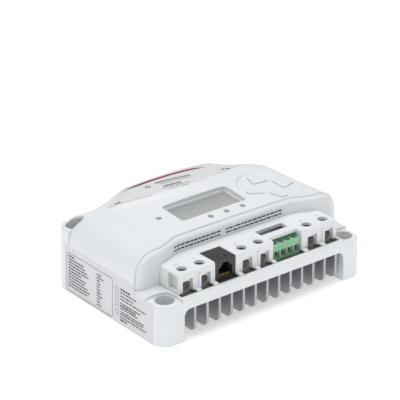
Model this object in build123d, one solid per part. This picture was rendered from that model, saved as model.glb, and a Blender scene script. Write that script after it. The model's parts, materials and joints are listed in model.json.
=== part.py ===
"""Solar charge controller, wall mounted, as an assembly of separate pieces.

Millimetres, +Z up. The unit lies on its back: the four-screw mounting face is z = 0,
the terminal side faces -Y, X runs along the terminals. Origin: bottom centre.
"""
import math
import os
from build123d import *

os.makedirs("parts", exist_ok=True)

# ---------------------------------------------------------------- driving dimensions
LENGTH = 153.0            # X, across the terminals
DEPTH = 105.0             # Y
DRAFT = 1.43              # degrees, moulding draft of the outer walls
CORNER_R = 9.0            # vertical corner radius at the base
WALL = 2.5
LEDGE_Z = 26.3            # top of the floor around the terminals
POST_X, POST_Y = 67.25, 43.25     # mounting hole centres
POST_R = 7.6
CBORE_R = 5.65
HOLE_R = 2.6
HOLE_LEN = 6.0
FRONT_POST_Z = 24.7
BACK_POST_Z = 39.2
XW = 75.45                # outer wall half width near the top
YB = 51.25                # back wall near the top
SIDE_R = 15.6             # rounding of the top into the side walls
BACK_R = 12.0             # rounding of the top into the back wall

CUT_HALF = 60.0           # fin cut-out half width
CUT_Z = 19.5
CUT_R = 4.5
INNER_WALL = 2.2

FIN_N = 13
FIN_PITCH = 8.86
FIN_X0 = 1.43
FIN_T = 1.6
FIN_Z0 = 3.2
PLATE_Z0, PLATE_Z1 = 19.4, 21.9
PCB_Z0, PCB_Z1 = 23.9, 25.5
PCB_X, PCB_Y0, PCB_Y1 = 58.6, -48.6, 44.0

SHROUD_X = 59.3
SHROUD_Y = -46.0
SHROUD_Z0, SHROUD_Z = 26.35, 38.9
SHROUD_T = 1.9
TERM_X = [-52.8, -40.2, -9.5, 3.1, 40.2, 52.8]
TERM_Y = -40.3
LUG_W, LUG_Y0, LUG_Y1, LUG_Z = 9.1, -44.0, -33.2, 35.8
CH_W, CH_Z0, CH_Z1, CH_R = 6.0, 26.7, 32.3, 2.3
SCREW_R = 2.45
SCREW_TRAVEL = 3.0
ACCESS_R = 3.0

JACK_X0, JACK_X1, JACK_Y0, JACK_Y1, JACK_Z = -33.0, -18.6, -46.0, -31.5, 38.7
SIG_X = 21.2              # centre of the signal terminal block
SIG_PITCH = 5.08
SIG_Y0, SIG_Y1, SIG_Z = -45.0, -37.0, 35.0
SIG_SCREW_Y = -42.0
SIG_TRAVEL = 1.2

DPCB_Z0, DPCB_Z1 = 40.4, 42.0
KEY_C = (41.9, -3.8)
KEY_TRAVEL = 0.5
LCD_C = (-4.8, -0.3)
LCD_W, LCD_D = 47.6, 20.8
LCD_TILT = 5.0            # degrees, the window follows the slope of the face
LEDS = [(-37.7, 0.3), (-11.6, -14.9), (0.15, -15.1), (12.3, -15.0)]
CASE_SCREWS = [(-47.3, -17.0), (50.16, -17.0), (-47.3, 38.0), (50.16, 38.0)]
BOARD_SCREWS = [(-29.6, -17.2), (23.6, -17.2), (-29.6, 40.0), (32.4, 40.0)]
DISPLAY_SCREWS = [(-39.0, 11.0), (58.0, 11.0), (-39.0, -15.5), (60.0, -15.5)]

TAN = math.tan(math.radians(DRAFT))


# ---------------------------------------------------------------- helpers
def clamp(v, a=0.0, b=1.0):
    return max(a, min(b, v))


def sstep(v, a, b):
    t = clamp((v - a) / (b - a))
    return t * t * (3 - 2 * t)


def box(x0, x1, y0, y1, z0, z1):
    return Pos((x0 + x1) / 2, (y0 + y1) / 2, (z0 + z1) / 2) * Box(x1 - x0, y1 - y0, z1 - z0)


def cyl(x, y, z0, z1, r):
    return Pos(x, y, (z0 + z1) / 2) * Cylinder(r, z1 - z0)


def rbox(x0, x1, y0, y1, z0, z1, r):
    """box with rounded vertical corners"""
    f = Pos((x0 + x1) / 2, (y0 + y1) / 2, z0) * RectangleRounded(x1 - x0, y1 - y0, r)
    return extrude(f, z1 - z0)


def rbox_y(x0, x1, y0, y1, z0, z1, r):
    """box with its four edges along Y rounded"""
    pl = Plane(origin=((x0 + x1) / 2, y0, (z0 + z1) / 2), x_dir=(1, 0, 0), z_dir=(0, 1, 0))
    return extrude(pl * RectangleRounded(x1 - x0, z1 - z0, r), y1 - y0)


def poly_prism(pts, z0, z1, r=0.0):
    w = Polyline(*[(x, y, z0) for x, y in pts], close=True)
    f = make_face(w)
    if r:
        f = fillet(f.vertices(), r)
    return extrude(f, amount=z1 - z0, dir=(0, 0, 1))


def prism(inset, z0, z1):
    """the drafted outer prism, moved in by inset"""
    i0 = inset + z0 * TAN
    f = Pos(0, 0, z0) * RectangleRounded(LENGTH - 2 * i0, DEPTH - 2 * i0, max(CORNER_R - inset, 1.5))
    return extrude(f, z1 - z0, taper=DRAFT)


# ---------------------------------------------------------------- the moulded top
def wall_y(x):
    """front of the recess wall behind the terminals, in plan"""
    return -23.2 - 5.4 * sstep(abs(x), 40.0, 60.0)


def lip_y(x):
    a = abs(x)
    return wall_y(x) + (2.0 * ((a - 70.3) / 4.0) ** 2 if a > 70.3 else 0.0)


def groove_y(x):
    return wall_y(x) + 2.3


def shoulder_x(y):
    """where the sloping back shoulders start, in plan"""
    pts = [(31.0, 43.4), (35.0, 34.0), (40.0, 29.4), (45.0, 28.4), (50.0, 24.9)]
    if y <= pts[0][0]:
        return pts[0][1]
    for (ya, xa), (yb, xb) in zip(pts, pts[1:]):
        if y <= yb:
            return xa + (xb - xa) * (y - ya) / (yb - ya)
    return pts[-1][1]


def dome_z(x, y, o=0.0):
    """height of the top face; o moves it inward to make the cavity"""
    a = abs(x)
    z = 48.3 + (3.3 + 0.0914 * y - 0.001374 * y * y) * (1 - (a / 66.0) ** 2)
    yb = 16.5 + 11.5 * (a / 60.0) ** 2
    z += 1.5 * max(0.0, 1 - (a / 68.0) ** 2) * sstep(y, yb, yb + 3.4)
    z -= o
    r = BACK_R - o
    t = y - (YB - BACK_R)
    dm = 0.0
    if t > 0:
        tt = min(t, r * 0.985)
        dm = r - math.sqrt(r * r - tt * tt) + max(0.0, t - r * 0.985) * 5.6
    zc = z - dm
    pl = 40.7 + (YB - y) * 0.33 - o
    k = 2.0
    h = clamp(0.5 + 0.5 * (pl - z) / k)
    zs = (pl + (z - pl) * h) - k * h * (1 - h)
    x1 = shoulder_x(y)
    z = zc + (zs - zc) * sstep(a, x1, x1 + 30.0)
    r0 = 14.2 + (SIDE_R - 14.2) * sstep(y, -27, 2)
    r = r0 - o
    t = a - (XW - r0)
    if t > 0:
        tt = min(t, r * 0.985)
        z -= r - math.sqrt(r * r - tt * tt) + max(0.0, t - r * 0.985) * 5.6
    return z


XS = [-78, -76.6, -75.4, -74.4, -73, -71, -69, -67, -64.5, -62, -59] + [-55 + 5 * i for i in range(23)] + \
     [59, 62, 64.5, 67, 69, 71, 73, 74.4, 75.4, 76.6, 78]
YS = [-32, -29.5, -27, -24.5, -22, -18, -13, -8, -3, 2, 7, 11, 14, 16, 18, 20, 22, 24, 26, 28, 30, 33, 36, 38.5,
      41, 43.5, 46, 48, 49.6, 51, 52.4, 53.6]


def top_face(o=0.0, dz=0.0):
    return Face.make_surface_from_array_of_points(
        [[Vector(x, y, dome_z(x, y, o) + dz) for y in YS] for x in XS], tol=0.05)


def under(face, down=80.0):
    s = Solid.extrude(face, Vector(0, 0, -down))
    return s


def region(fn, x_lim, y_back, z0, z1):
    """everything behind the plan curve y = fn(x)"""
    n = 44
    xs = [-x_lim + 2 * x_lim * i / n for i in range(n + 1)]
    c = Spline(*[(x, fn(x), z0) for x in xs])
    p = Polyline((x_lim, fn(x_lim), z0), (x_lim, y_back, z0), (-x_lim, y_back, z0), (-x_lim, fn(-x_lim), z0))
    return extrude(make_face([c, p]), amount=z1 - z0, dir=(0, 0, 1))


S_TOP = top_face()
TOP = under(S_TOP)

# keys -------------------------------------------------------------------------------
KX, KY = KEY_C
KEYS = {
    "up": [(KX - 5.7, KY + 7.8), (KX + 5.7, KY + 7.8), (KX + 2.3, KY + 18.3), (KX - 2.3, KY + 18.3)],
    "down": [(KX - 2.3, KY - 15.6), (KX + 2.3, KY - 15.6), (KX + 5.7, KY - 7.6), (KX - 5.7, KY - 7.6)],
    "left": [(KX - 16.6, KY - 2.3), (KX - 7.4, KY - 5.7), (KX - 7.4, KY + 5.7), (KX - 16.6, KY + 2.3)],
    "right": [(KX + 7.4, KY - 5.7), (KX + 18.4, KY - 2.3), (KX + 18.4, KY + 2.3), (KX + 7.4, KY + 5.7)],
}
KEY_STEM = {"up": (KX, KY + 11.6), "down": (KX, KY - 10.9), "left": (KX - 11.0, KY), "right": (KX + 11.6, KY)}


# the keys lie in a shallow round dish; its flat floor meets the dome at the front and right
DISH_C, DISH_R = (44.0, -3.0), 20.0
DISH_Z, DISH_SX, DISH_SY = 49.33, -0.0532, 0.0317
DISH_PLANE = Plane(origin=(DISH_C[0], DISH_C[1], DISH_Z), x_dir=(1, 0, DISH_SX), z_dir=(-DISH_SX, -DISH_SY, 1))
DISH_DOTS = [(48.0, 4.6), (50.2, 2.3), (35.4, -8.0), (38.0, -10.2)]


def grown(pts, d):
    """polygon grown by d about its edges"""
    f = make_face(Polyline(*[(x, y) for x, y in pts], close=True))
    f = fillet(f.vertices(), 0.9)
    return offset(f, d) if d else f


def key_prism(name, d, z0, z1):
    return extrude(Pos(0, 0, z0) * grown(KEYS[name], d), amount=z1 - z0, dir=(0, 0, 1))


# LCD frame of reference ---------------------------------------------------------------
LCD_TOP = dome_z(*LCD_C)
LCD_LOC = Pos(LCD_C[0], LCD_C[1], LCD_TOP) * Rot(LCD_TILT, 0, 0)


def lcd_box(w, d, z0, z1, r=0.0):
    f = RectangleRounded(w, d, r) if r else Rectangle(w, d)
    return LCD_LOC * extrude(Pos(0, 0, z0) * f, amount=z1 - z0, dir=(0, 0, 1))


# ---------------------------------------------------------------- housing
def make_housing():
    low_a = prism(0, 0, LEDGE_Z)
    low_a = fillet(low_a.edges().filter_by_position(Axis.Z, LEDGE_Z - 0.01, LEDGE_Z + 0.01), 1.2)
    low_b = prism(0, 0, FRONT_POST_Z)
    low_b = fillet(low_b.edges().filter_by_position(Axis.Z, FRONT_POST_Z - 0.01, FRONT_POST_Z + 0.01), 1.2)
    corners = []
    for s in (-1, 1):
        x0, x1 = (-90, -61.0) if s < 0 else (61.0, 90)
        corners.append(rbox(x0, x1, -70, -36.9, -5, 60, 6.2))
    k = corners[0] + corners[1]
    low = (low_a - k) + (low_b & k)

    full = prism(0, 0, 60)
    dome = (TOP & full) & region(groove_y, 90, 60, -5, 70)

    # rounded bead in front of the dome, one step lower, that turns down into the recess wall
    ts = [-0.5, 0.0, 0.12, 0.35, 0.75, 1.25, 1.85, 2.4, 3.2, 4.2]

    def bead_z(x, t):
        u = clamp((2.4 - t) / 2.4, 0.0, 0.975)
        return dome_z(x, wall_y(x) + t) - 1.1 - 2.4 * (1 - math.sqrt(1 - u * u)) - (1.2 if t < 0 else 0.0)
    bxs = [-77, -75.6, -74.4, -73, -71.5, -70, -68, -66, -63.5, -61, -58, -55] + [-52 + 4 * i for i in range(27)] + \
          [55, 58, 61, 63.5, 66, 68, 70, 71.5, 73, 74.4, 75.6, 77]
    bf = Face.make_surface_from_array_of_points(
        [[Vector(x, wall_y(x) + t, bead_z(x, t)) for t in ts] for x in bxs], tol=0.02)
    bead = under(bf) & prism(1.1, 20, 60) & region(lip_y, 76.9, -17, 20, 60)
    bead = bead & region(lambda x: -40, 90, -20.0, 0, 70)

    outer = low + dome + bead
    # solid block behind the front corners: the side walls run down to the ledge
    # cavities ------------------------------------------------------------------------
    inner_top = under(top_face(WALL))
    c1 = prism(WALL, -1, 24.2)
    c2 = (inner_top & prism(WALL, -1, 60)) & region(lambda x: groove_y(x) + 0.15, 90, 60, -5, 70)
    cav = c1 + c2
    keep = []
    for s in (-1, 1):
        xa, xb = sorted((s * (CUT_HALF - 0.3), s * (CUT_HALF - 0.3 + INNER_WALL)))
        keep.append(box(xa, xb, -49.9, 49.9, -1, 24.2))
        keep.append(box(xa, xb, -21, 47.0, 24.0, 34.0))
    for x, y in CASE_SCREWS:
        keep.append(cyl(x, y, PLATE_Z1, 60, 3.2))
    for x, y in DISPLAY_SCREWS:
        keep.append(cyl(x, y, DPCB_Z1, 60, 2.8))
    for s in (-1, 1):
        keep.append(cyl(s * POST_X, -POST_Y, -1, FRONT_POST_Z + 5, POST_R))
        keep.append(cyl(s * POST_X, POST_Y, -1, BACK_POST_Z, POST_R))
    keep.append(lcd_box(LCD_W + 5, LCD_D + 5, -4.3, 6))
    for kp in keep:
        cav = cav - kp
    h = outer - cav
    # back posts stand up to their own flat rim
    for s in (-1, 1):
        post = cyl(s * POST_X, POST_Y, 30, BACK_POST_Z, POST_R + 2.5) & prism(0.02, 20, BACK_POST_Z)
        post = post & box(min(s * 62, s * 90), max(s * 62, s * 90), 38, 70, 20, 60)
        ring = cyl(s * POST_X, POST_Y, 30, BACK_POST_Z, POST_R)
        h = h + (post & (ring + (post - prism(WALL, 20, 60))))
    # fin cut-outs, front and back
    cut = rbox_y(-CUT_HALF, CUT_HALF, -60, -49.2, -20, CUT_Z, CUT_R)
    h = h - cut - cut.mirror(Plane.XZ)
    # opening round the terminal board; the board runs back under the recess wall
    h = h - box(-59.4, 59.4, -48.9, -30, 23, 27.5)
    h = h - box(-59.4, 59.4, -32, -18, 23, LEDGE_Z + 0.3)
    # mounting holes: deep counterbore for the screw head, plain hole below
    for s in (-1, 1):
        for y, zt in ((-POST_Y, FRONT_POST_Z), (POST_Y, BACK_POST_Z)):
            h = h - cyl(s * POST_X, y, HOLE_LEN, 70, CBORE_R)
            h = h - cyl(s * POST_X, y, -5, HOLE_LEN + 1, HOLE_R)
    # LCD window: seat for the clear window and a smaller view opening below it
    h = h - lcd_box(LCD_W, LCD_D, -2.6, 8, 2.5)
    h = h - lcd_box(LCD_W - 2.4, LCD_D - 2.4, -9, -2, 2.0)
    for x, y in LEDS:
        h = h - cyl(x, y, 42.5, 60, 1.75)
    dish = DISH_PLANE * Cone(DISH_R, DISH_R + 2.5, 2.5, align=(Align.CENTER, Align.CENTER, Align.MIN))
    h = h - dish
    for n in KEYS:
        h = h - key_prism(n, 0.0, 44, 60)
    for x, y in DISH_DOTS:
        h = h - cyl(x, y, 48.1, 60, 0.42)
    for x, y in CASE_SCREWS:
        h = h - cyl(x, y, PLATE_Z1 - 1, PLATE_Z1 + 9, 1.5)
    for x, y in DISPLAY_SCREWS:
        h = h - cyl(x, y, DPCB_Z1 - 1, DPCB_Z1 + 3.2, 1.1)
    # shallow recess for the rating label on the left wall
    h = h - rating_shape(0.15, 0.15)
    return h


def rating_shape(t, grow):
    """sheet on the left wall, t deep, built at x = 0 and laid on the drafted face"""
    g = grow
    y0, y1, ym = -44.0 - g, 41.0 + g, -24.5 - g
    z0, z1, zm = 0.6 - g, 30.0 + g, 24.3 + g
    pts = [(y0, z0), (y1, z0), (y1, z1), (ym, z1), (ym - 3.5, zm), (y0, zm)]
    f = make_face(Polyline(*[(0, y, z) for y, z in pts], close=True))
    f = fillet(f.vertices(), 1.2)
    s = extrude(f, amount=t, dir=(1, 0, 0))
    return Pos(-LENGTH / 2, 0, 0) * Rot(0, DRAFT, 0) * s


# ---------------------------------------------------------------- heatsink
def make_heatsink():
    h = box(-59.2, 59.2, -48.9, 48.9, PLATE_Z0, PLATE_Z1)
    for i in range(FIN_N):
        x = FIN_X0 + FIN_PITCH * (i - 6)
        pl = Plane(origin=(x - FIN_T / 2, 0, (FIN_Z0 + PLATE_Z0 + 0.05) / 2), x_dir=(0, 1, 0), z_dir=(1, 0, 0))
        hh = PLATE_Z0 + 0.05 - FIN_Z0
        f = Rectangle(102.4, hh)
        f = fillet(f.vertices().sort_by(Axis.Y)[:2], 4.0)
        h = h + extrude(pl * f, amount=FIN_T, dir=(1, 0, 0))
    for x, y in BOARD_SCREWS:
        h = h + cyl(x, y, PLATE_Z1 - 0.1, PCB_Z0, 3.0)
        h = h - cyl(x, y, PLATE_Z0 + 0.6, PCB_Z0 + 1, 1.5)
    for x, y in CASE_SCREWS:
        h = h - cyl(x, y, PLATE_Z0 - 1, PLATE_Z1 + 1, 1.6)
    return h


def make_case_screws():
    out = []
    for x, y in CASE_SCREWS:
        s = cyl(x, y, PLATE_Z0 - 2.2, PLATE_Z0, 2.8) + cyl(x, y, PLATE_Z0 - 0.1, PLATE_Z1 + 8.5, 1.5)
        s = s - box(x - 0.4, x + 0.4, y - 1.8, y + 1.8, PLATE_Z0 - 2.5, PLATE_Z0 - 1.1)
        s = s - box(x - 1.8, x + 1.8, y - 0.4, y + 0.4, PLATE_Z0 - 2.5, PLATE_Z0 - 1.1)
        out.append(s)
    return Compound(children=out)


def make_board_screws():
    out = []
    for x, y in BOARD_SCREWS:
        s = cyl(x, y, PCB_Z1, PCB_Z1 + 2.0, 2.8) + cyl(x, y, PLATE_Z0 + 0.8, PCB_Z1 + 0.1, 1.5)
        s = s - box(x - 0.4, x + 0.4, y - 1.8, y + 1.8, PCB_Z1 + 0.9, PCB_Z1 + 3)
        s = s - box(x - 1.8, x + 1.8, y - 0.4, y + 0.4, PCB_Z1 + 0.9, PCB_Z1 + 3)
        out.append(s)
    return Compound(children=out)


def make_display_screws():
    out = []
    for x, y in DISPLAY_SCREWS:
        s = cyl(x, y, DPCB_Z0 - 1.6, DPCB_Z0, 2.3) + cyl(x, y, DPCB_Z0 - 0.1, DPCB_Z1 + 3.0, 1.1)
        s = s - box(x - 1.5, x + 1.5, y - 0.35, y + 0.35, DPCB_Z0 - 3, DPCB_Z0 - 0.9)
        s = s - box(x - 0.35, x + 0.35, y - 1.5, y + 1.5, DPCB_Z0 - 3, DPCB_Z0 - 0.9)
        out.append(s)
    return Compound(children=out)


# ---------------------------------------------------------------- boards
LUG_PINS = [(-3.4, -42.0), (3.4, -42.0), (-3.4, -35.2), (3.4, -35.2)]


def make_main_pcb():
    p = rbox(-PCB_X, PCB_X, PCB_Y0, PCB_Y1, PCB_Z0, PCB_Z1, 1.0)
    for x, y in CASE_SCREWS:
        p = p - cyl(x, y, 20, 30, 3.6)
    for x, y in BOARD_SCREWS:
        p = p - cyl(x, y, 20, 30, 1.5)
    for tx in TERM_X:
        for dx, y in LUG_PINS:
            p = p - box(tx + dx - 0.6, tx + dx + 0.6, y - 0.6, y + 0.6, 20, 30)
    return p


def make_display_pcb():
    p = rbox(-42.0, 63.2, -18.6, 14.6, DPCB_Z0, DPCB_Z1, 1.0)
    for x, y in CASE_SCREWS[:2]:
        if -45 < x < 66:
            p = p - cyl(x, y, 38, 44, 3.7)
    for x, y in DISPLAY_SCREWS:
        p = p - cyl(x, y, 38, 44, 1.1)
    for i in range(8):
        x = HDR_X + (i - 3.5) * 2.54
        p = p - box(x - 0.32, x + 0.32, HDR_Y - 0.32, HDR_Y + 0.32, 38, 44)
    return p


HDR_X, HDR_Y = -6.0, 12.6


def make_header_socket():
    s = box(HDR_X - 10.2, HDR_X + 10.2, HDR_Y - 1.27, HDR_Y + 1.27, PCB_Z1, 34.0)
    for i in range(8):
        x = HDR_X + (i - 3.5) * 2.54
        s = s - box(x - 0.32, x + 0.32, HDR_Y - 0.32, HDR_Y + 0.32, 28.0, 35)
    return s


def make_header_pins():
    s = box(HDR_X - 10.2, HDR_X + 10.2, HDR_Y - 1.27, HDR_Y + 1.27, 37.9, DPCB_Z0)
    for i in range(8):
        x = HDR_X + (i - 3.5) * 2.54
        s = s + box(x - 0.32, x + 0.32, HDR_Y - 0.32, HDR_Y + 0.32, 28.2, DPCB_Z1 + 0.9)
    return s


def make_mosfets():
    out = []
    for i in range(6):
        x = -37.5 + 15.0 * i
        s = box(x - 5.0, x + 5.0, 0.0, 8.6, PCB_Z1 + 0.1, PCB_Z1 + 4.4)
        s = s + box(x - 5.0, x + 5.0, 8.4, 9.8, PCB_Z1, PCB_Z1 + 1.3)
        s = s + box(x - 4.6, x + 4.6, 0.6, 8.6, PCB_Z1, PCB_Z1 + 0.3)
        for dx in (-2.54, 2.54):
            s = s + box(x + dx - 0.4, x + dx + 0.4, -2.0, 0.2, PCB_Z1 + 1.9, PCB_Z1 + 2.4)
            s = s + box(x + dx - 0.4, x + dx + 0.4, -2.5, -2.0, PCB_Z1, PCB_Z1 + 2.4)
            s = s + box(x + dx - 0.4, x + dx + 0.4, -4.4, -2.0, PCB_Z1, PCB_Z1 + 0.5)
        out.append(s)
    return Compound(children=out)


def make_capacitors():
    out = []
    for x, y in ((-33.0, 27.0), (-17.0, 27.0), (-1.0, 27.0)):
        c = cyl(x, y, PCB_Z1, PCB_Z1 + 12.5, 5.0)
        c = fillet(c.edges().filter_by_position(Axis.Z, PCB_Z1 + 12.4, PCB_Z1 + 12.6), 0.5)
        c = c - (cyl(x, y, PCB_Z1 + 1.2, PCB_Z1 + 1.9, 6) - cyl(x, y, PCB_Z1 + 1.2, PCB_Z1 + 1.9, 4.7))
        out.append(c)
    return Compound(children=out)


def make_shunt():
    x0, x1, y0, y1 = -10.0, 4.0, -14.5, -10.5
    s = box(x0, x1, y0, y1, PCB_Z1 + 1.4, PCB_Z1 + 2.2)
    s = s + box(x0, x0 + 2.4, y0, y1, PCB_Z1, PCB_Z1 + 1.6) + box(x1 - 2.4, x1, y0, y1, PCB_Z1, PCB_Z1 + 1.6)
    return s


def make_chip():
    cx, cy = 24.0, 24.0
    s = box(cx - 5, cx + 5, cy - 5, cy + 5, PCB_Z1 + 0.1, PCB_Z1 + 1.5)
    s = s - cyl(cx - 3.9, cy + 3.9, PCB_Z1 + 1.4, PCB_Z1 + 2, 0.5)
    for i in range(9):
        o = (i - 4) * 1.0
        s = s + box(cx - 6.1, cx + 6.1, cy + o - 0.2, cy + o + 0.2, PCB_Z1, PCB_Z1 + 0.35)
        s = s + box(cx + o - 0.2, cx + o + 0.2, cy - 6.1, cy + 6.1, PCB_Z1, PCB_Z1 + 0.35)
    return s


def make_diodes():
    out = []
    for x in (12.0, 30.0):
        b = Pos(x, -12.5, PCB_Z1 + 2.7) * Rot(0, 90, 0) * Cylinder(2.6, 8.5)
        for s in (-1, 1):
            b = b + Pos(x + s * 5.2, -12.5, PCB_Z1 + 2.7) * Rot(0, 90, 0) * Cylinder(0.6, 2.6)
            b = b + cyl(x + s * 6.3, -12.5, PCB_Z1, PCB_Z1 + 3.2, 0.6)
        out.append(b)
    return Compound(children=out)


# ---------------------------------------------------------------- power terminals
def make_lug(x):
    s = box(x - LUG_W / 2, x + LUG_W / 2, LUG_Y0, LUG_Y1, PCB_Z1, LUG_Z)
    s = s - rbox_y(x - CH_W / 2, x + CH_W / 2, LUG_Y0 - 1, LUG_Y1 - 1.4, CH_Z0, CH_Z1, CH_R)
    s = s - cyl(x, TERM_Y, CH_Z1 - 1.5, LUG_Z + 1, SCREW_R + 0.05)
    for dx, y in LUG_PINS:
        s = s + box(x + dx - 0.6, x + dx + 0.6, y - 0.6, y + 0.6, PCB_Z0 - 1.2, PCB_Z1 + 0.1)
    return s


def make_terminal_screw(x):
    s = cyl(x, TERM_Y, CH_Z1 + 0.55, CH_Z1 + 4.15, SCREW_R)
    z = CH_Z1 + 4.15
    s = chamfer(s.edges().filter_by_position(Axis.Z, z - 0.01, z + 0.01), 0.3)
    s = s - box(x - 0.45, x + 0.45, TERM_Y - 1.6, TERM_Y + 1.6, z - 1.2, z + 1)
    s = s - box(x - 1.6, x + 1.6, TERM_Y - 0.45, TERM_Y + 0.45, z - 1.2, z + 1)
    return s


def make_clamp_pad(x):
    return cyl(x, TERM_Y, CH_Z1 + 0.05, CH_Z1 + 0.55, 2.0)


# ---------------------------------------------------------------- terminal shroud
OPEN_X = [(-55.9, -49.0), (-43.4, -36.6), (-12.9, -6.1), (-0.3, 6.5), (36.8, 43.6), (49.5, 56.2)]
OPEN_X = [(x - 3.65, x + 3.65) for x in TERM_X]
FEET = [-47.0, -35.0, -16.6, -3.8, 9.0, 33.0, 46.4]


def make_shroud():
    beh = region(lambda x: wall_y(x) - 0.05, 70, 60, 20, 60)
    body = box(-SHROUD_X, SHROUD_X, SHROUD_Y, -20, SHROUD_Z0, SHROUD_Z) - beh
    e = body.edges().filter_by_position(Axis.Z, SHROUD_Z - 0.01, SHROUD_Z + 0.01)
    e = e.filter_by_position(Axis.Y, -47, -45.9) + e.filter_by(GeomType.LINE).filter_by(Axis.Y)
    body = fillet(e, 1.2)
    hollow = box(-SHROUD_X + SHROUD_T, SHROUD_X - SHROUD_T, SHROUD_Y + SHROUD_T, -20, SHROUD_Z0 - 1,
                 SHROUD_Z - SHROUD_T - 0.1) - region(lambda x: wall_y(x) - 0.05 - SHROUD_T, 70, 60, 20, 60)
    body = body - hollow
    zi = SHROUD_Z - SHROUD_T
    for xa, xb in ((-47.3, -45.7), (-4.0, -2.4), (45.7, 47.3)):
        body = body + box(xa, xb, SHROUD_Y + 0.5, -32.5, SHROUD_Z0, zi)
    for xa, xb in ((-35.2, -33.4), (-18.2, -14.5), (8.1, 10.4), (32.0, 35.2)):
        body = body + box(xa, xb, SHROUD_Y + 0.5, -32.5, SHROUD_Z0, zi)
    # raised rail beside each second wire entry and small feet that stand on the ledge
    for x in (TERM_X[1], TERM_X[3], TERM_X[5]):
        body = body + box(x - 5.3, x - 3.75, SHROUD_Y - 1.0, SHROUD_Y + 0.5, SHROUD_Z0, 35.8)
    for x in FEET:
        body = body + box(x - 1.5, x + 1.5, -49.5, SHROUD_Y + 0.5, SHROUD_Z0, 27.5)
    # wire entries
    for xa, xb in OPEN_X:
        body = body - box(xa, xb, SHROUD_Y - 0.02, LUG_Y0 + 0.2, SHROUD_Z0 - 1, 34.3)
    # screwdriver holes
    for x in TERM_X:
        body = body - cyl(x, TERM_Y, 36, 42, ACCESS_R)
        body = body - Pos(x, TERM_Y, SHROUD_Z - 0.3) * Cone(ACCESS_R, ACCESS_R + 0.6, 0.6, align=(
            Align.CENTER, Align.CENTER, Align.MIN))
    # raised polarity marks behind the holes
    for i, x in enumerate(TERM_X):
        body = body + box(x - 1.3, x + 1.3, -34.9, -34.3, SHROUD_Z - 0.2, SHROUD_Z + 0.2)
        if i % 2 == 0:
            body = body + box(x - 0.3, x + 0.3, -35.9, -33.3, SHROUD_Z - 0.2, SHROUD_Z + 0.2)
    # left and right side windows in the end walls
    for s in (-1, 1):
        xa, xb = sorted((s * 57.0, s * 61))
        body = body - box(xa, xb, -44.6, -36.3, 27.9, 37.1)
    # jack and signal block notches, open to the front and the top
    body = body - box(JACK_X0 - 0.3, JACK_X1 + 0.3, -60, JACK_Y1 + 0.3, SHROUD_Z0 - 1, 60)
    hw = 2 * SIG_PITCH + 0.25
    body = body - box(SIG_X - hw - 0.9, SIG_X + hw, -60, -41.0, SHROUD_Z0 - 1, 60)
    # slot over the mode switches
    body = body - box(9.6, 29.6, -35.5, -29.5, 30, 60)
    return body


# ---------------------------------------------------------------- jack
def make_jack():
    cx = (JACK_X0 + JACK_X1) / 2
    s = box(JACK_X0, JACK_X1, JACK_Y0, JACK_Y1, PCB_Z1, JACK_Z)
    s = s - box(cx - 4.9, cx + 4.9, JACK_Y0 - 1, -34.0, 28.0, 34.0)
    s = s - box(cx - 3.3, cx + 3.3, JACK_Y0 - 1, -34.0, 33.9, 35.5)
    s = s - box(cx - 2.1, cx + 2.1, JACK_Y0 - 1, -34.0, 35.4, 36.9)
    for dx in (-2.55, 2.55):
        s = s - box(cx + dx - 0.35, cx + dx + 0.35, -43.4, -40.9, JACK_Z - 0.8, JACK_Z + 1)
    return s


def make_jack_contacts():
    cx = (JACK_X0 + JACK_X1) / 2
    out = []
    for i in range(6):
        x = cx + (i - 2.5) * 1.27
        p = box(x - 0.25, x + 0.25, -45.0, -36.0, 28.9, 29.35) + box(x - 0.25, x + 0.25, -45.0, -44.5, 28.0, 29.35)
        p = p + box(x - 0.25, x + 0.25, -36.4, -36.0, 28.9, 32.2)
        out.append(p)
    return Compound(children=out)


# ---------------------------------------------------------------- signal terminal block
SIG_XS = [SIG_X + (i - 1.5) * SIG_PITCH for i in range(4)]


def make_signal_block():
    out = []
    for side in (0, 1):
        x0 = SIG_X - 2 * SIG_PITCH + side * 2 * SIG_PITCH + (0.0 if side == 0 else 0.04)
        x1 = x0 + 2 * SIG_PITCH - 0.04
        b = box(x0, x1, SIG_Y0, SIG_Y1, PCB_Z1, SIG_Z)
        f = make_face(Polyline((x0 - 1, SIG_Y0 - 1, SIG_Z - 0.9), (x0 - 1, SIG_Y0 - 1, SIG_Z + 1),
                               (x0 - 1, SIG_Y0 + 1.6, SIG_Z + 1), (x0 - 1, SIG_Y0 + 0.6, SIG_Z), close=True))
        b = b - extrude(f, amount=2 * SIG_PITCH + 2, dir=(1, 0, 0))
        for x in SIG_XS[2 * side:2 * side + 2]:
            b = b - box(x - 1.95, x + 1.95, SIG_Y0 - 1, -38.4, 26.1, 30.9)
            b = b - box(x - 1.95, x + 1.95, SIG_SCREW_Y - 2.0, -38.4, 26.1, 32.85)
            b = b - cyl(x, SIG_SCREW_Y, 33.4, 36, 2.05)
            b = b - cyl(x, SIG_SCREW_Y, 32, 34, 1.46)
        out.append(b)
    return Compound(children=out)


def make_signal_screw(x):
    y = SIG_SCREW_Y
    s = cyl(x, y, 33.45, 34.7, 1.85) + cyl(x, y, 30.3, 33.5, 1.4)
    s = s - box(x - 2.2, x + 2.2, y - 0.3, y + 0.3, 34.1, 36)
    return s


def make_signal_cage(x):
    y = SIG_SCREW_Y
    o = box(x - 1.7, x + 1.7, y - 1.75, y + 2.0, 26.3, 31.5)
    o = o - box(x - 1.25, x + 1.25, y - 3, y + 3, 26.9, 30.8)
    o = o - cyl(x, y, 28.8, 33, 1.5)
    return o


# ---------------------------------------------------------------- mode switches
DIP_X, DIP_Y = 20.1, -32.5
DIP_XS = [DIP_X + (i - 1.5) * 2.54 for i in range(4)]


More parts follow.
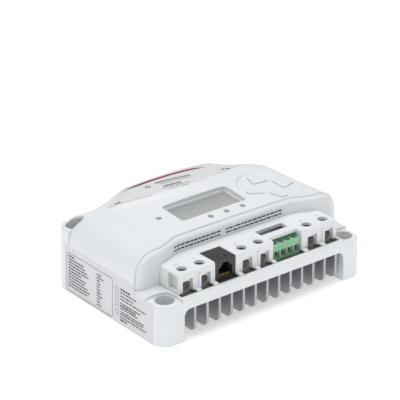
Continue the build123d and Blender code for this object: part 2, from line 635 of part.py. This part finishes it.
def make_mode_switch():
    s = box(DIP_X - 5.6, DIP_X + 5.6, DIP_Y - 2.95, DIP_Y + 2.95, PCB_Z1, PCB_Z1 + 3.6)
    for x in DIP_XS:
        s = s - box(x - 0.75, x + 0.75, DIP_Y - 1.75, DIP_Y + 1.75, PCB_Z1 + 2.2, PCB_Z1 + 5)
    return s


def make_dip_lever(x):
    return box(x - 0.5, x + 0.5, DIP_Y - 1.5, DIP_Y - 0.1, PCB_Z1 + 2.4, PCB_Z1 + 4.2)


# ---------------------------------------------------------------- display parts
def make_lcd_window():
    return lcd_box(LCD_W - 0.1, LCD_D - 0.1, -2.6, -1.5, 2.45)


def make_lcd_glass():
    return lcd_box(LCD_W - 1.4, LCD_D + 1.0, -5.9, -4.4)


def make_lcd_backlight():
    b = box(LCD_C[0] - 23.4, LCD_C[0] + 23.4, LCD_C[1] - 11.4, LCD_C[1] + 10.8, DPCB_Z1, 60)
    b = b & (lcd_box(60, 40, -30, -5.9))
    return b


def make_tact_switches():
    out = []
    for n, (x, y) in KEY_STEM.items():
        s = rbox(x - 3.0, x + 3.0, y - 3.0, y + 3.0, DPCB_Z1, DPCB_Z1 + 2.4, 0.4)
        s = s - cyl(x, y, DPCB_Z1 + 0.9, DPCB_Z1 + 5, 1.95)
        out.append(s)
    return Compound(children=out)


def make_key(n):
    x, y = KEY_STEM[n]
    cap = key_prism(n, -0.28, 45.6, 60) & (DISH_PLANE * Pos(0, 0, -9.5) * Box(60, 60, 20))
    fl = key_prism(n, 0.7, 45.0, 45.8)
    stem = cyl(x, y, DPCB_Z1 + 1.5, 45.5, 1.7)
    return cap + fl + stem


def make_light_pipes():
    out = []
    for x, y in LEDS:
        z = dome_z(x, y) + 0.1
        p = cyl(x, y, DPCB_Z1 + 1.15, z, 1.7)
        out.append(fillet(p.edges().filter_by_position(Axis.Z, z - 0.01, z + 0.01), 0.4))
    return Compound(children=out)


def make_leds():
    return Compound(children=[box(x - 1.0, x + 1.0, y - 1.3, y + 1.3, DPCB_Z1, DPCB_Z1 + 1.1) for x, y in LEDS])


# ---------------------------------------------------------------- labels
def make_face_label():
    sheet = Solid.extrude(S_TOP, Vector(0, 0, 0.12))
    lo = Spline((-51.5, 31.0, 0), (-38, 26.6, 0), (-20, 23.0, 0), (0, 21.9, 0), (20, 23.0, 0), (38, 26.6, 0),
                (51.5, 31.0, 0))
    hi = Polyline((51.5, 31.0, 0), (49.5, 34.4, 0), (37.5, 41.6, 0), (27, 45.4, 0), (0, 46.6, 0), (-27, 45.4, 0),
                  (-37.5, 41.6, 0), (-49.5, 34.4, 0), (-51.5, 31.0, 0))
    return sheet & extrude(make_face([lo, hi]), amount=80, dir=(0, 0, 1))


def make_strip_label():
    a = region(lambda x: lip_y(x) - 0.13, 76.9, -16, 39.4, 45.4)
    b = region(lambda x: lip_y(x) - 0.01, 76.9, -15, 39.0, 46)
    return (a - b) & box(-47.5, 37.5, -30, -20, 39, 46)


# ---------------------------------------------------------------- write the pieces
PIECES = {
    "housing": make_housing,
    "heatsink": make_heatsink,
    "thermal_pad": lambda: box(-44, 44, -3.5, 10.5, PLATE_Z1, PCB_Z0),
    "main_pcb": make_main_pcb,
    "solar_terminals": lambda: Compound(children=[make_lug(x) for x in TERM_X[0:2]]),
    "battery_terminals": lambda: Compound(children=[make_lug(x) for x in TERM_X[2:4]]),
    "load_terminals": lambda: Compound(children=[make_lug(x) for x in TERM_X[4:6]]),
    "terminal_shroud": make_shroud,
    "phone_jack": make_jack,
    "jack_contacts": make_jack_contacts,
    "signal_block": make_signal_block,
    "mode_switch": make_mode_switch,
    "display_pcb": make_display_pcb,
    "lcd_backlight": make_lcd_backlight,
    "lcd_glass": make_lcd_glass,
    "lcd_window": make_lcd_window,
    "tact_switches": make_tact_switches,
    "light_pipes": make_light_pipes,
    "status_leds": make_leds,
    "header_pins": make_header_pins,
    "header_socket": make_header_socket,
    "mosfets": make_mosfets,
    "capacitors": make_capacitors,
    "current_shunt": make_shunt,
    "controller_chip": make_chip,
    "surge_diodes": make_diodes,
    "display_screws": make_display_screws,
    "board_screws": make_board_screws,
    "case_screws": make_case_screws,
    "face_label": make_face_label,
    "rating_label": lambda: rating_shape(0.12, 0.0).moved(Location((0.03, 0, 0))),
    "strip_label": make_strip_label,
}
for _n in ("up", "down", "left", "right"):
    PIECES["key_" + _n] = (lambda n=_n: make_key(n))
for _i, _x in enumerate(TERM_X, 1):
    PIECES["terminal_screw_%d" % _i] = (lambda x=_x: make_terminal_screw(x))
    PIECES["clamp_pad_%d" % _i] = (lambda x=_x: make_clamp_pad(x))
for _i, _x in enumerate(SIG_XS, 1):
    PIECES["signal_screw_%d" % _i] = (lambda x=_x: make_signal_screw(x))
    PIECES["signal_cage_%d" % _i] = (lambda x=_x: make_signal_cage(x))
for _i, _x in enumerate(DIP_XS, 1):
    PIECES["dip_lever_%d" % _i] = (lambda x=_x: make_dip_lever(x))

if __name__ == "__main__":
    for old in os.listdir("parts"):
        os.remove(os.path.join("parts", old))
    for name, make in PIECES.items():
        shape = make()
        n = len(shape.solids())
        bb = shape.bounding_box()
        print("%-20s %d solid(s) vol %.1f  x %.2f..%.2f y %.2f..%.2f z %.2f..%.2f" % (
            name, n, shape.volume, bb.min.X, bb.max.X, bb.min.Y, bb.max.Y, bb.min.Z, bb.max.Z), flush=True)
        export_step(shape, "parts/%s.step" % name)
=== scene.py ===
import json
import math
import random

import bmesh
import bpy
import numpy as np
from mathutils import Matrix, Vector
from mathutils.bvhtree import BVHTree


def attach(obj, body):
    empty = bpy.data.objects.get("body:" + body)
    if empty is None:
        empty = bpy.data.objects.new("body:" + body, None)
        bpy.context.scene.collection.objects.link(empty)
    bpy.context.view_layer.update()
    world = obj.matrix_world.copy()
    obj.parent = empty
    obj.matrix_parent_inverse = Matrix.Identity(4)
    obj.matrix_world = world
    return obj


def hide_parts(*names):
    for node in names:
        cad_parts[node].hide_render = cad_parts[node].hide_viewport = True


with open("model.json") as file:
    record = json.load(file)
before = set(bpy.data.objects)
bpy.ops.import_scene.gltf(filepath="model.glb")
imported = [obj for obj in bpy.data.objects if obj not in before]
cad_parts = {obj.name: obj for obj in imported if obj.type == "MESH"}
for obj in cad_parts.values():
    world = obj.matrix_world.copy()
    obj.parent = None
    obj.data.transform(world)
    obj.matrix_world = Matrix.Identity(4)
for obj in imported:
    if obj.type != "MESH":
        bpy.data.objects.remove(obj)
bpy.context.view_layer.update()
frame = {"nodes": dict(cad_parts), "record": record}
NODES = frame["nodes"]
MM = 0.001
random.seed(4)

# ------------------------------------------------------------------ node helpers


class Mat:
    """small builder for a procedural material; everything is keyed to object coordinates"""

    def __init__(self, name):
        self.m = bpy.data.materials.new(name)
        self.m.use_nodes = True
        self.t = self.m.node_tree
        self.n = self.t.nodes
        self.n.clear()
        self.out = self.n.new("ShaderNodeOutputMaterial")
        self.b = self.n.new("ShaderNodeBsdfPrincipled")
        self.t.links.new(self.b.outputs[0], self.out.inputs[0])
        tc = self.n.new("ShaderNodeTexCoord")
        self.co = tc.outputs["Object"]

    def link(self, a, b):
        self.t.links.new(a, b)

    def set(self, **kw):
        names = {"rough": "Roughness", "metal": "Metallic", "ior": "IOR", "coat": "Coat Weight",
                 "coat_rough": "Coat Roughness", "trans": "Transmission Weight", "spec": "Specular IOR Level",
                 "alpha": "Alpha", "sss": "Subsurface Weight"}
        for k, v in kw.items():
            if k == "color":
                self.b.inputs["Base Color"].default_value = (*v, 1)
            else:
                self.b.inputs[names[k]].default_value = v
        return self

    def noise(self, scale, detail=3.0, rough=0.55, stretch=None):
        v = self.co
        if stretch:
            mp = self.n.new("ShaderNodeMapping")
            mp.inputs["Scale"].default_value = stretch
            self.link(self.co, mp.inputs[0])
            v = mp.outputs[0]
        x = self.n.new("ShaderNodeTexNoise")
        x.inputs["Scale"].default_value = scale
        x.inputs["Detail"].default_value = detail
        x.inputs["Roughness"].default_value = rough
        self.link(v, x.inputs["Vector"])
        return x.outputs["Fac"]

    def voronoi(self, scale):
        x = self.n.new("ShaderNodeTexVoronoi")
        x.inputs["Scale"].default_value = scale
        self.link(self.co, x.inputs["Vector"])
        return x.outputs["Distance"]

    def ramp(self, fac, *stops):
        r = self.n.new("ShaderNodeValToRGB")
        e = r.color_ramp.elements
        while len(e) < len(stops):
            e.new(0.5)
        for el, (p, c) in zip(e, stops):
            el.position = p
            el.color = (*c, 1) if isinstance(c, tuple) else (c, c, c, 1)
        self.link(fac, r.inputs[0])
        return r.outputs[0]

    def range(self, fac, a, b, lo=0.3, hi=0.7):
        r = self.n.new("ShaderNodeMapRange")
        r.inputs["From Min"].default_value = lo
        r.inputs["From Max"].default_value = hi
        r.inputs["To Min"].default_value = a
        r.inputs["To Max"].default_value = b
        self.link(fac, r.inputs["Value"])
        return r.outputs[0]

    def mix(self, fac, a, b):
        r = self.n.new("ShaderNodeMix")
        r.data_type = "RGBA"
        for s, v in ((0, fac), (6, a), (7, b)):
            if isinstance(v, (int, float)):
                r.inputs[s].default_value = v
            elif isinstance(v, tuple):
                r.inputs[s].default_value = (*v, 1)
            else:
                self.link(v, r.inputs[s])
        return r.outputs[2]

    def color(self, sock):
        self.link(sock, self.b.inputs["Base Color"])
        return self

    def vary(self, base, amount=0.03, scale=60.0, detail=3.0):
        """base colour with a soft, low drift either way"""
        f = self.noise(scale, detail)
        a = tuple(max(0.0, c * (1 - amount)) for c in base)
        b = tuple(min(1.0, c * (1 + amount)) for c in base)
        return self.color(self.ramp(f, (0.3, a), (0.7, b)))

    def rough_noise(self, a, b, scale=400.0, detail=3.0):
        self.link(self.range(self.noise(scale, detail), a, b), self.b.inputs["Roughness"])
        return self

    def surface(self, bevel=None, bump=None, dist=0.00002, strength=0.4):
        """softened edges (bevel radius in metres) and a fine bump"""
        nrm = None
        if bevel:
            bv = self.n.new("ShaderNodeBevel")
            bv.samples = 6
            bv.inputs["Radius"].default_value = bevel
            nrm = bv.outputs[0]
        if bump is not None:
            bp = self.n.new("ShaderNodeBump")
            bp.inputs["Distance"].default_value = dist
            bp.inputs["Strength"].default_value = strength
            self.link(bump, bp.inputs["Height"])
            if nrm is not None:
                self.link(nrm, bp.inputs["Normal"])
            nrm = bp.outputs[0]
        if nrm is not None:
            self.link(nrm, self.b.inputs["Normal"])
        return self


def plastic(name, base, rough=(0.34, 0.42), bevel=0.0005, grain=2600.0, bump=0.25, vary=0.012, coat=0.0):
    m = Mat(name)
    m.vary(base, vary, 45.0)
    m.rough_noise(rough[0], rough[1], 900.0)
    m.surface(bevel, m.noise(grain, 2.0), 0.00001, bump)
    if coat:
        m.set(coat=coat, coat_rough=0.25)
    return m.m


M = {}
M["housing"] = plastic("m_housing", (0.83, 0.85, 0.865), (0.36, 0.44), 0.0006)
M["shroud"] = plastic("m_shroud", (0.83, 0.85, 0.865), (0.36, 0.44), 0.0004)
M["keys"] = plastic("m_keys", (0.82, 0.85, 0.875), (0.38, 0.46), 0.00035)

m = Mat("m_heatsink")
m.vary((0.44, 0.45, 0.47), 0.05, 80.0)
m.rough_noise(0.42, 0.58, 500.0)
m.set(metal=0.85)
m.surface(0.0003, m.noise(1800.0, 4.0), 0.00002, 0.5)
M["heatsink"] = m.m

m = Mat("m_thermal_pad")
m.vary((0.42, 0.52, 0.62), 0.06, 300.0)
m.rough_noise(0.7, 0.85)
m.surface(None, m.noise(1200.0), 0.00004, 0.6)
M["thermal_pad"] = m.m

m = Mat("m_pcb")
c = m.ramp(m.noise(160.0, 3.0), (0.35, (0.085, 0.092, 0.066)), (0.65, (0.115, 0.130, 0.092)))
tr = m.n.new("ShaderNodeTexBrick")
tr.inputs["Scale"].default_value = 300.0
tr.inputs["Mortar Size"].default_value = 0.012
m.link(m.co, tr.inputs["Vector"])
m.color(m.mix(m.range(tr.outputs["Fac"], 0.0, 0.30, 0.0, 1.0), c, (0.15, 0.20, 0.14)))
m.rough_noise(0.28, 0.42)
m.surface(0.00015, tr.outputs["Fac"], 0.00003, 0.4)
M["pcb"] = m.m

m = Mat("m_terminal_metal")
m.vary((0.80, 0.785, 0.74), 0.07, 260.0, 4.0)
m.rough_noise(0.32, 0.46, 700.0)
m.set(metal=0.82)
m.surface(0.0002, m.noise(2500.0, 3.0), 0.00001, 0.4)
M["terminal_metal"] = m.m

m = Mat("m_screw_steel")
m.vary((0.60, 0.60, 0.60), 0.08, 500.0)
m.rough_noise(0.26, 0.40, 900.0)
m.set(metal=1.0)
m.surface(0.0001, m.noise(3000.0, 2.0, stretch=(1, 1, 6)), 0.00001, 0.4)
M["screw_steel"] = m.m

M["jack_plastic"] = plastic("m_jack", (0.030, 0.031, 0.034), (0.36, 0.48), 0.0003, 2200.0, 0.5, 0.08)
m = Mat("m_gold")
m.vary((0.86, 0.62, 0.22), 0.06, 800.0)
m.rough_noise(0.18, 0.3)
m.set(metal=1.0)
m.surface(0.00008, m.noise(4000.0), 0.000005, 0.3)
M["contact_gold"] = m.m
M["signal_green"] = plastic("m_signal_green", (0.27, 0.56, 0.34), (0.30, 0.42), 0.0002, 2400.0, 0.3, 0.04)
M["switch_body"] = plastic("m_switch_body", (0.045, 0.047, 0.052), (0.4, 0.5), 0.0001, 2600.0, 0.3, 0.06)
M["switch_lever"] = plastic("m_switch_lever", (0.80, 0.80, 0.77), (0.35, 0.45), 0.0001, 2600.0, 0.2, 0.02)

# the display: a grey green polariser, with a painted reflection that makes it darker and bluer towards the
# back
m = Mat("m_lcd_glass")
painted_reflection_xyz = m.n.new("ShaderNodeSeparateXYZ")
m.link(m.co, painted_reflection_xyz.inputs[0])
# painted reflection: the base colour is mixed darker and bluer along Y towards the back of the window
base = m.mix(m.range(painted_reflection_xyz.outputs["Y"], 0.0, 1.0, -0.004, 0.007), (0.44, 0.443, 0.422), (0.305, 0.316, 0.326))
soft = m.noise(55.0, 2.0)
m.color(m.mix(m.range(soft, 0.0, 0.02), base, (0.39, 0.40, 0.38)))
m.rough_noise(0.42, 0.46, 200.0)
M["lcd_glass"] = m.m
m = Mat("m_lcd_backlight")
m.vary((0.85, 0.86, 0.84), 0.02, 100.0)
m.rough_noise(0.4, 0.55)
m.surface(0.0002, m.noise(900.0), 0.00001, 0.3)
M["lcd_backlight"] = m.m
m = Mat("m_lcd_window")
m.set(color=(0.80, 0.82, 0.82), alpha=0.12, ior=1.45)
m.rough_noise(0.015, 0.03, 120.0)
m.surface(0.0002)
M["lcd_window"] = m.m

m = Mat("m_light_pipe")
m.vary((0.36, 0.38, 0.43), 0.10, 700.0)
m.rough_noise(0.2, 0.32)
m.set(coat=0.3)
m.surface(0.0003, m.noise(1500.0), 0.00001, 0.3)
M["light_pipe"] = m.m
M["led"] = plastic("m_led", (0.88, 0.85, 0.62), (0.3, 0.4), 0.0001)
M["header_black"] = plastic("m_header", (0.03, 0.03, 0.032), (0.45, 0.55), 0.0001, 2600.0, 0.3, 0.08)
m = Mat("m_header_pin")
m.vary((0.80, 0.62, 0.28), 0.08, 800.0)
m.rough_noise(0.22, 0.36)
m.set(metal=1.0)
m.surface(0.00008, m.noise(4000.0), 0.000005, 0.3)
M["header_pin"] = m.m
m = Mat("m_chip")
m.vary((0.035, 0.036, 0.040), 0.2, 900.0)
m.rough_noise(0.5, 0.65)
m.surface(0.0001, m.noise(3500.0), 0.00002, 0.5)
M["chip_black"] = m.m
m = Mat("m_cap_sleeve")
sep = m.n.new("ShaderNodeSeparateXYZ")
m.link(m.co, sep.inputs[0])
m.color(m.ramp(sep.outputs["Z"], (0.0367, (0.05, 0.06, 0.10)), (0.0369, (0.55, 0.56, 0.58))))
m.rough_noise(0.28, 0.4)
m.surface(0.0002, m.noise(1500.0), 0.00001, 0.3)
M["cap_sleeve"] = m.m
m = Mat("m_shunt")
m.vary((0.50, 0.40, 0.31), 0.12, 600.0)
m.rough_noise(0.35, 0.5)
m.set(metal=1.0)
m.surface(0.0002, m.noise(2500.0, 2.0, stretch=(8, 1, 1)), 0.00001, 0.4)
M["shunt"] = m.m


def film(name, base):
    m = Mat(name)
    m.vary(base, 0.01, 80.0)
    m.rough_noise(0.42, 0.50, 700.0)
    m.surface(None, m.noise(2200.0), 0.000008, 0.25)
    return m.m


M["face_label"] = film("m_face_label", (0.735, 0.74, 0.755))
M["rating_label"] = film("m_rating_label", (0.725, 0.73, 0.75))
M["strip_label"] = film("m_strip_label", (0.76, 0.785, 0.81))


def ink(name, base, rough=0.5):
    m = Mat(name)
    m.vary(base, 0.12, 900.0)
    m.rough_noise(rough - 0.05, rough + 0.08, 1200.0)
    m.surface(None, m.noise(3000.0), 0.000005, 0.3)
    return m.m


INK_DARK = ink("m_ink_dark", (0.030, 0.031, 0.035))
INK_GREY = ink("m_ink_grey", (0.20, 0.21, 0.23))
INK_PALE = ink("m_ink_pale", (0.52, 0.53, 0.55))
INK_RED = ink("m_ink_red", (0.60, 0.10, 0.055))

for name, ob in NODES.items():
    for s in ob.material_slots:
        key = None
        for sp in frame["record"]["subparts"]:
            if sp["node"] == name:
                key = sp["material_slot"]
        s.material = M[key]
    if not ob.material_slots:
        ob.data.materials.append(M[key])


# ------------------------------------------------------------------ pieces made here
def bvh_of(*names):
    verts, polys = [], []
    for n in names:
        me = NODES[n].data
        k = len(verts)
        verts += [v.co.copy() for v in me.vertices]
        polys += [tuple(k + i for i in p.vertices) for p in me.polygons]
    return BVHTree.FromPolygons(verts, polys)


def new_mesh(name, verts, faces, mat, smooth=False):
    me = bpy.data.meshes.new(name)
    me.from_pydata([tuple(v) for v in verts], [], faces)
    me.update()
    ob = bpy.data.objects.new(name, me)
    bpy.context.scene.collection.objects.link(ob)
    me.materials.append(mat)
    if smooth:
        for p in me.polygons:
            p.use_smooth = True
    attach(ob, "base")
    return ob


TOP = bvh_of("housing", "face_label")


def top_z(x, y, off=0.0):
    """height of the moulded top in millimetres"""
    hit = TOP.ray_cast(Vector((x * MM, y * MM, 0.08)), Vector((0, 0, -1)))
    return (hit[0].z / MM if hit[0] is not None else 50.0) + off


class Ink:
    """collects thin printed quads on a surface given by place(a, b) -> Vector in mm"""

    def __init__(self, name, place, mat, slot, thick=0.02):
        self.name, self.place, self.mat, self.slot = name, place, mat, slot
        self.v, self.f = [], []
        self.thick = thick

    def quad(self, a0, a1, b0, b1, na=1):
        k = len(self.v)
        for i in range(na + 1):
            a = a0 + (a1 - a0) * i / na
            for b in (b0, b1):
                self.v.append(self.place(a, b))
        for i in range(na):
            q = k + 2 * i
            self.f.append((q, q + 2, q + 3, q + 1))

    def words(self, a0, a1, b, h, seed=0, gap=0.8, wmin=1.2, wmax=4.5):
        """a run of plain dashes, as a line of small print looks from afar"""
        r = random.Random(seed)
        a = a0
        s = 1 if a1 > a0 else -1
        while (a1 - a) * s > 0.6:
            w = min(r.uniform(wmin, wmax), abs(a1 - a))
            self.quad(a, a + s * w, b - h / 2, b + h / 2, max(1, int(w / 2)))
            a += s * (w + gap)

    def make(self, flip=False):
        fs = [tuple(reversed(f)) for f in self.f] if flip else self.f
        ob = new_mesh(self.name, [v * MM for v in self.v], fs, self.mat)
        return ob


# face label: its own sheet, draped on the moulding
def y_lo(x):
    return 20.9 + 10.1 * (abs(x) / 51.5) ** 1.9


_hx = [0, 10, 20, 27, 32, 37.5, 42, 46, 49.5, 51.0, 51.5]
_hy = [46.5, 46.3, 45.9, 45.2, 43.9, 41.4, 39.0, 36.7, 34.2, 32.7, 31.2]


def y_hi(x):
    return float(np.interp(abs(x), _hx, _hy))


def film_z(x, y, a, b):
    """the sheet's height; its border is carried on from just inside, clear of the pocket's edge"""
    x = max(-51.2, min(51.2, x))
    if b - a > 1.2 and y > b - 0.3:
        z1, z2 = top_z(x, b - 0.3), top_z(x, b - 0.6)
        return z1 + (z1 - z2) * (y - b + 0.3) / 0.3 + 0.05
    if b - a > 1.2 and y < a + 0.3:
        z1, z2 = top_z(x, a + 0.3), top_z(x, a + 0.6)
        return z1 + (z1 - z2) * (a + 0.3 - y) / 0.3 + 0.05
    return top_z(x, y, 0.05)


N, K = 150, 26
vs, fs = [], []
for i in range(N + 1):
    u = -1 + 2 * i / N
    x = 51.45 * math.copysign(abs(u) ** 0.9, u)
    a, b = y_lo(x), max(y_hi(x), y_lo(x) + 0.05)
    for j in range(K + 1):
        y = a + (b - a) * j / K
        vs.append(Vector((x, y, film_z(x, y, a, b))) * MM)
for i in range(N):
    for j in range(K):
        q = i * (K + 1) + j
        fs.append((q, q + K + 1, q + K + 2, q + 1))
label = new_mesh("face_label_film", vs, fs, M["face_label"], True)
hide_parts("face_label")


def on_top(x, y):
    return Vector((x, y, top_z(x, y, 0.09)))


stripe = Ink("face_stripe_red", on_top, INK_RED, "face_label")
dark = Ink("face_stripe_dark", on_top, INK_DARK, "face_label")
SX = [-36.0, -27.2, -15.9, -1.6, 12.8, 26.0]
SY = [40.4, 39.8, 39.3, 38.7, 38.0, 36.4]


def stripe_y(x):
    c = np.polyfit(SX, SY, 3)
    return float(np.polyval(c, x))


def band(ink, x0, x1, d0, d1, n=48):
    k = len(ink.v)
    for i in range(n + 1):
        x = x0 + (x1 - x0) * i / n
        t = min(1.0, (x - x0) / 9.0, (x1 - x) / 7.0)
        t = max(0.05, t) ** 0.8
        mid = (d0 + d1) / 2
        for d in (mid + (d0 - mid) * t, mid + (d1 - mid) * t):
            ink.v.append(on_top(x, stripe_y(x) - d))
    for i in range(n):
        q = k + 2 * i
        ink.f.append((q, q + 1, q + 3, q + 2))


band(stripe, -31.0, 22.5, -1.15, -0.15)
band(dark, -35.5, 26.0, -0.12, 1.1)
stripe.make()
dark.make()


def row_line(x, y):
    """rows of print run parallel to the stripe"""
    return on_top(x, y - 0.15 * (x + 3.0))


txt = Ink("face_print_grey", row_line, INK_GREY, "face_label")
txt.words(-14.6, 8.8, 32.6, 2.1, 3, 0.55, 1.1, 1.9)
txt.words(-13.0, -6.8, 30.0, 0.6, 5, 0.5)
txt.words(-15.4, 3.2, 24.1, 0.65, 6, 0.5)
txt.words(-12.6, 0.4, 21.9, 0.6, 7, 0.5)
for i in range(20):
    a0, a1 = 2 * math.pi * i / 20, 2 * math.pi * (i + 1) / 20
    k = len(txt.v)
    for r, a in ((0.9, a0), (1.7, a0), (1.7, a1), (0.9, a1)):
        txt.v.append(on_top(-20.8 + r * math.cos(a), 33.6 + r * math.sin(a)))
    txt.f.append((k, k + 3, k + 2, k + 1))
txt.make(True)
txt = Ink("face_print_dark", row_line, INK_DARK, "face_label")
txt.words(-13.0, -1.0, 26.3, 1.7, 8, 0.5, 0.9, 1.5)
txt.words(31.0, 38.0, 33.2, 1.2, 12, 0.8, 1.6, 3.0)
txt.words(-47.0, -43.4, 23.6, 1.3, 13, 0.6, 1.0, 1.8)
txt.make(True)
txt = Ink("face_print_red", row_line, INK_RED, "face_label")
txt.words(-6.2, 9.4, 29.9, 0.5, 9, 0.5)
txt.make(True)

# rating label print on the left wall; a runs along -Y, b is height
TAN = math.tan(math.radians(1.43))


def on_left(a, b):
    return Vector((-(76.5 - b * TAN) - 0.05, -a, b))


rt = Ink("rating_print", on_left, INK_DARK, "rating_label")
for i, w in enumerate((6.0, 15.0, 16.5, 19.0, 20.0, 13.0, 17.5, 16.0, 19.0, 21.0, 18.5)):
    rt.words(-38.0, -38.0 + w, 24.2 - 1.93 * i, 0.85, 20 + i, 0.5, 1.0, 3.4)
for i, w in enumerate((4.5, 6.5, 3.0, 4.0, 2.6, 3.4, 4.4, 6.2, 3.0, 3.6, 4.4)):
    rt.words(-9.5, -9.5 + w, 23.0 - 1.93 * i, 0.85, 40 + i, 0.5, 0.9, 2.2)
for i, (b, w) in enumerate(((22.6, 9.0), (20.6, 15.0), (18.3, 12.0), (16.3, 24.0), (13.8, 19.0), (12.2, 14.5),
                            (10.6, 17.0), (8.3, 22.0), (6.8, 21.5), (5.0, 24.5), (3.2, 6.5))):
    rt.words(13.5, 13.5 + w, b, 0.75 if i % 5 else 1.1, 60 + i, 0.5, 0.9, 3.2)
rt.make(True)
rg = Ink("rating_frame", on_left, INK_GREY, "rating_label")


def frame_line(ink, pts, w=0.16):
    n = len(pts)
    k = len(ink.v)
    for i, (a, b) in enumerate(pts):
        a0, b0 = pts[(i - 1) % n]
        a1, b1 = pts[(i + 1) % n]
        t = Vector((a1 - a0, b1 - b0)).normalized()
        nn = Vector((-t.y, t.x))
        ink.v.append(ink.place(a + nn.x * w / 2, b + nn.y * w / 2))
        ink.v.append(ink.place(a - nn.x * w / 2, b - nn.y * w / 2))
    for i in range(n):
        p, q = k + 2 * i, k + 2 * ((i + 1) % n)
        ink.f.append((p, q, q + 1, p + 1))


def rounded(a0, a1, b0, b1, r, n=6):
    pts = []
    for ca, cb, s in ((a1 - r, b1 - r, 0), (a0 + r, b1 - r, 90), (a0 + r, b0 + r, 180), (a1 - r, b0 + r, 270)):
        for i in range(n + 1):
            t = math.radians(s + 90 * i / n)
            pts.append((ca + r * math.cos(t), cb + r * math.sin(t)))
    return pts


frame_line(rg, rounded(-40.0, 6.0, 1.6, 26.0, 2.0), 0.34)
for b in (21.5, 17.0, 12.2, 7.0):
    frame_line(rg, rounded(8.8, 11.6, b - 1.4, b + 1.4, 0.4, 3), 0.30)
rg.make(True)


# strip label print on the recess wall
def sstep(v, a, b):
    t = max(0.0, min(1.0, (v - a) / (b - a)))
    return t * t * (3 - 2 * t)


def wall_y(x):
    return -23.2 - 5.4 * sstep(abs(x), 40.0, 60.0)


def on_strip(x, z):
    return Vector((x, wall_y(x) - 0.17, z))


st = Ink("strip_print", on_strip, INK_DARK, "strip_label")
for z, s in ((43.4, 80), (41.2, 81)):
    st.words(-45.5, -11.0, z, 1.0, s, 0.55, 1.0, 3.6)
    st.words(-7.0, 35.5, z, 1.0, s + 5, 0.55, 1.0, 3.8)
st.make()

# ------------------------------------------------------------------ stage, light, camera
me = bpy.data.meshes.new("floor")
R = 6.0
me.from_pydata([(-R, -R, -0.0002), (R, -R, -0.0002), (R, R, -0.0002), (-R, R, -0.0002)], [], [(0, 1, 2, 3)])
floor = bpy.data.objects.new("floor", me)
bpy.context.scene.collection.objects.link(floor)
fm = Mat("m_floor")
fm.vary((0.88, 0.88, 0.88), 0.004, 2.0)
fm.set(rough=0.9, spec=0.1)
fm.b.inputs["Emission Color"].default_value = (1, 1, 1, 1)
fm.b.inputs["Emission Strength"].default_value = 0.45
me.materials.append(fm.m)

world = bpy.data.worlds.new("studio")
bpy.context.scene.world = world
world.use_nodes = True
bg = world.node_tree.nodes["Background"]
bg.inputs[0].default_value = (0.96, 0.98, 1.0, 1)
bg.inputs[1].default_value = 0.36


def area(name, loc, target, size, power, color=(1, 1, 1)):
    d = bpy.data.lights.new(name, "AREA")
    d.shape = "RECTANGLE"
    d.size, d.size_y = size
    d.energy = power
    d.color = color
    o = bpy.data.objects.new(name, d)
    bpy.context.scene.collection.objects.link(o)
    o.location = loc
    o.rotation_euler = (Vector(target) - Vector(loc)).to_track_quat("-Z", "Y").to_euler()
    return o


area("top_softbox", (0.02, 0.10, 1.15), (0, 0, 0.03), (1.2, 1.0), 9.8)
area("left_softbox", (-1.1, -0.15, 0.55), (0, 0, 0.03), (0.9, 0.7), 1.3, (0.97, 0.985, 1.0))
area("front_softbox", (0.25, -1.25, 0.55), (0, 0, 0.03), (1.0, 0.7), 1.5, (0.97, 0.985, 1.0))

AZ, EL, ROLL, DIST = math.radians(-38.45), math.radians(24.401), math.radians(-0.068), 1055.874
TX, TY, FPX = -5.999, 19.681, 1778.537
back = Vector((math.sin(AZ) * math.cos(EL), -math.cos(AZ) * math.cos(EL), math.sin(EL)))
x = Vector((0, 0, 1)).cross(back).normalized()
y = back.cross(x)
x2 = math.cos(ROLL) * x + math.sin(ROLL) * y
y2 = -math.sin(ROLL) * x + math.cos(ROLL) * y
pos = (Vector((0, 0, 30)) + back * DIST + x2 * TX + y2 * TY) * MM
cd = bpy.data.cameras.new("camera")
cam = bpy.data.objects.new("camera", cd)
bpy.context.scene.collection.objects.link(cam)
rot = Matrix((x2, y2, back)).transposed()
cam.matrix_world = Matrix.Translation(pos) @ rot.to_4x4()
cd.sensor_width = 36.0
cd.lens = FPX / 400 * 36.0
cd.clip_start = 0.05
cd.clip_end = 20.0
bpy.context.scene.camera = cam

vs_ = bpy.context.scene.view_settings
vs_.view_transform = "Standard"
vs_.look = "None"
vs_.exposure = 0.0
vs_.gamma = 1.0
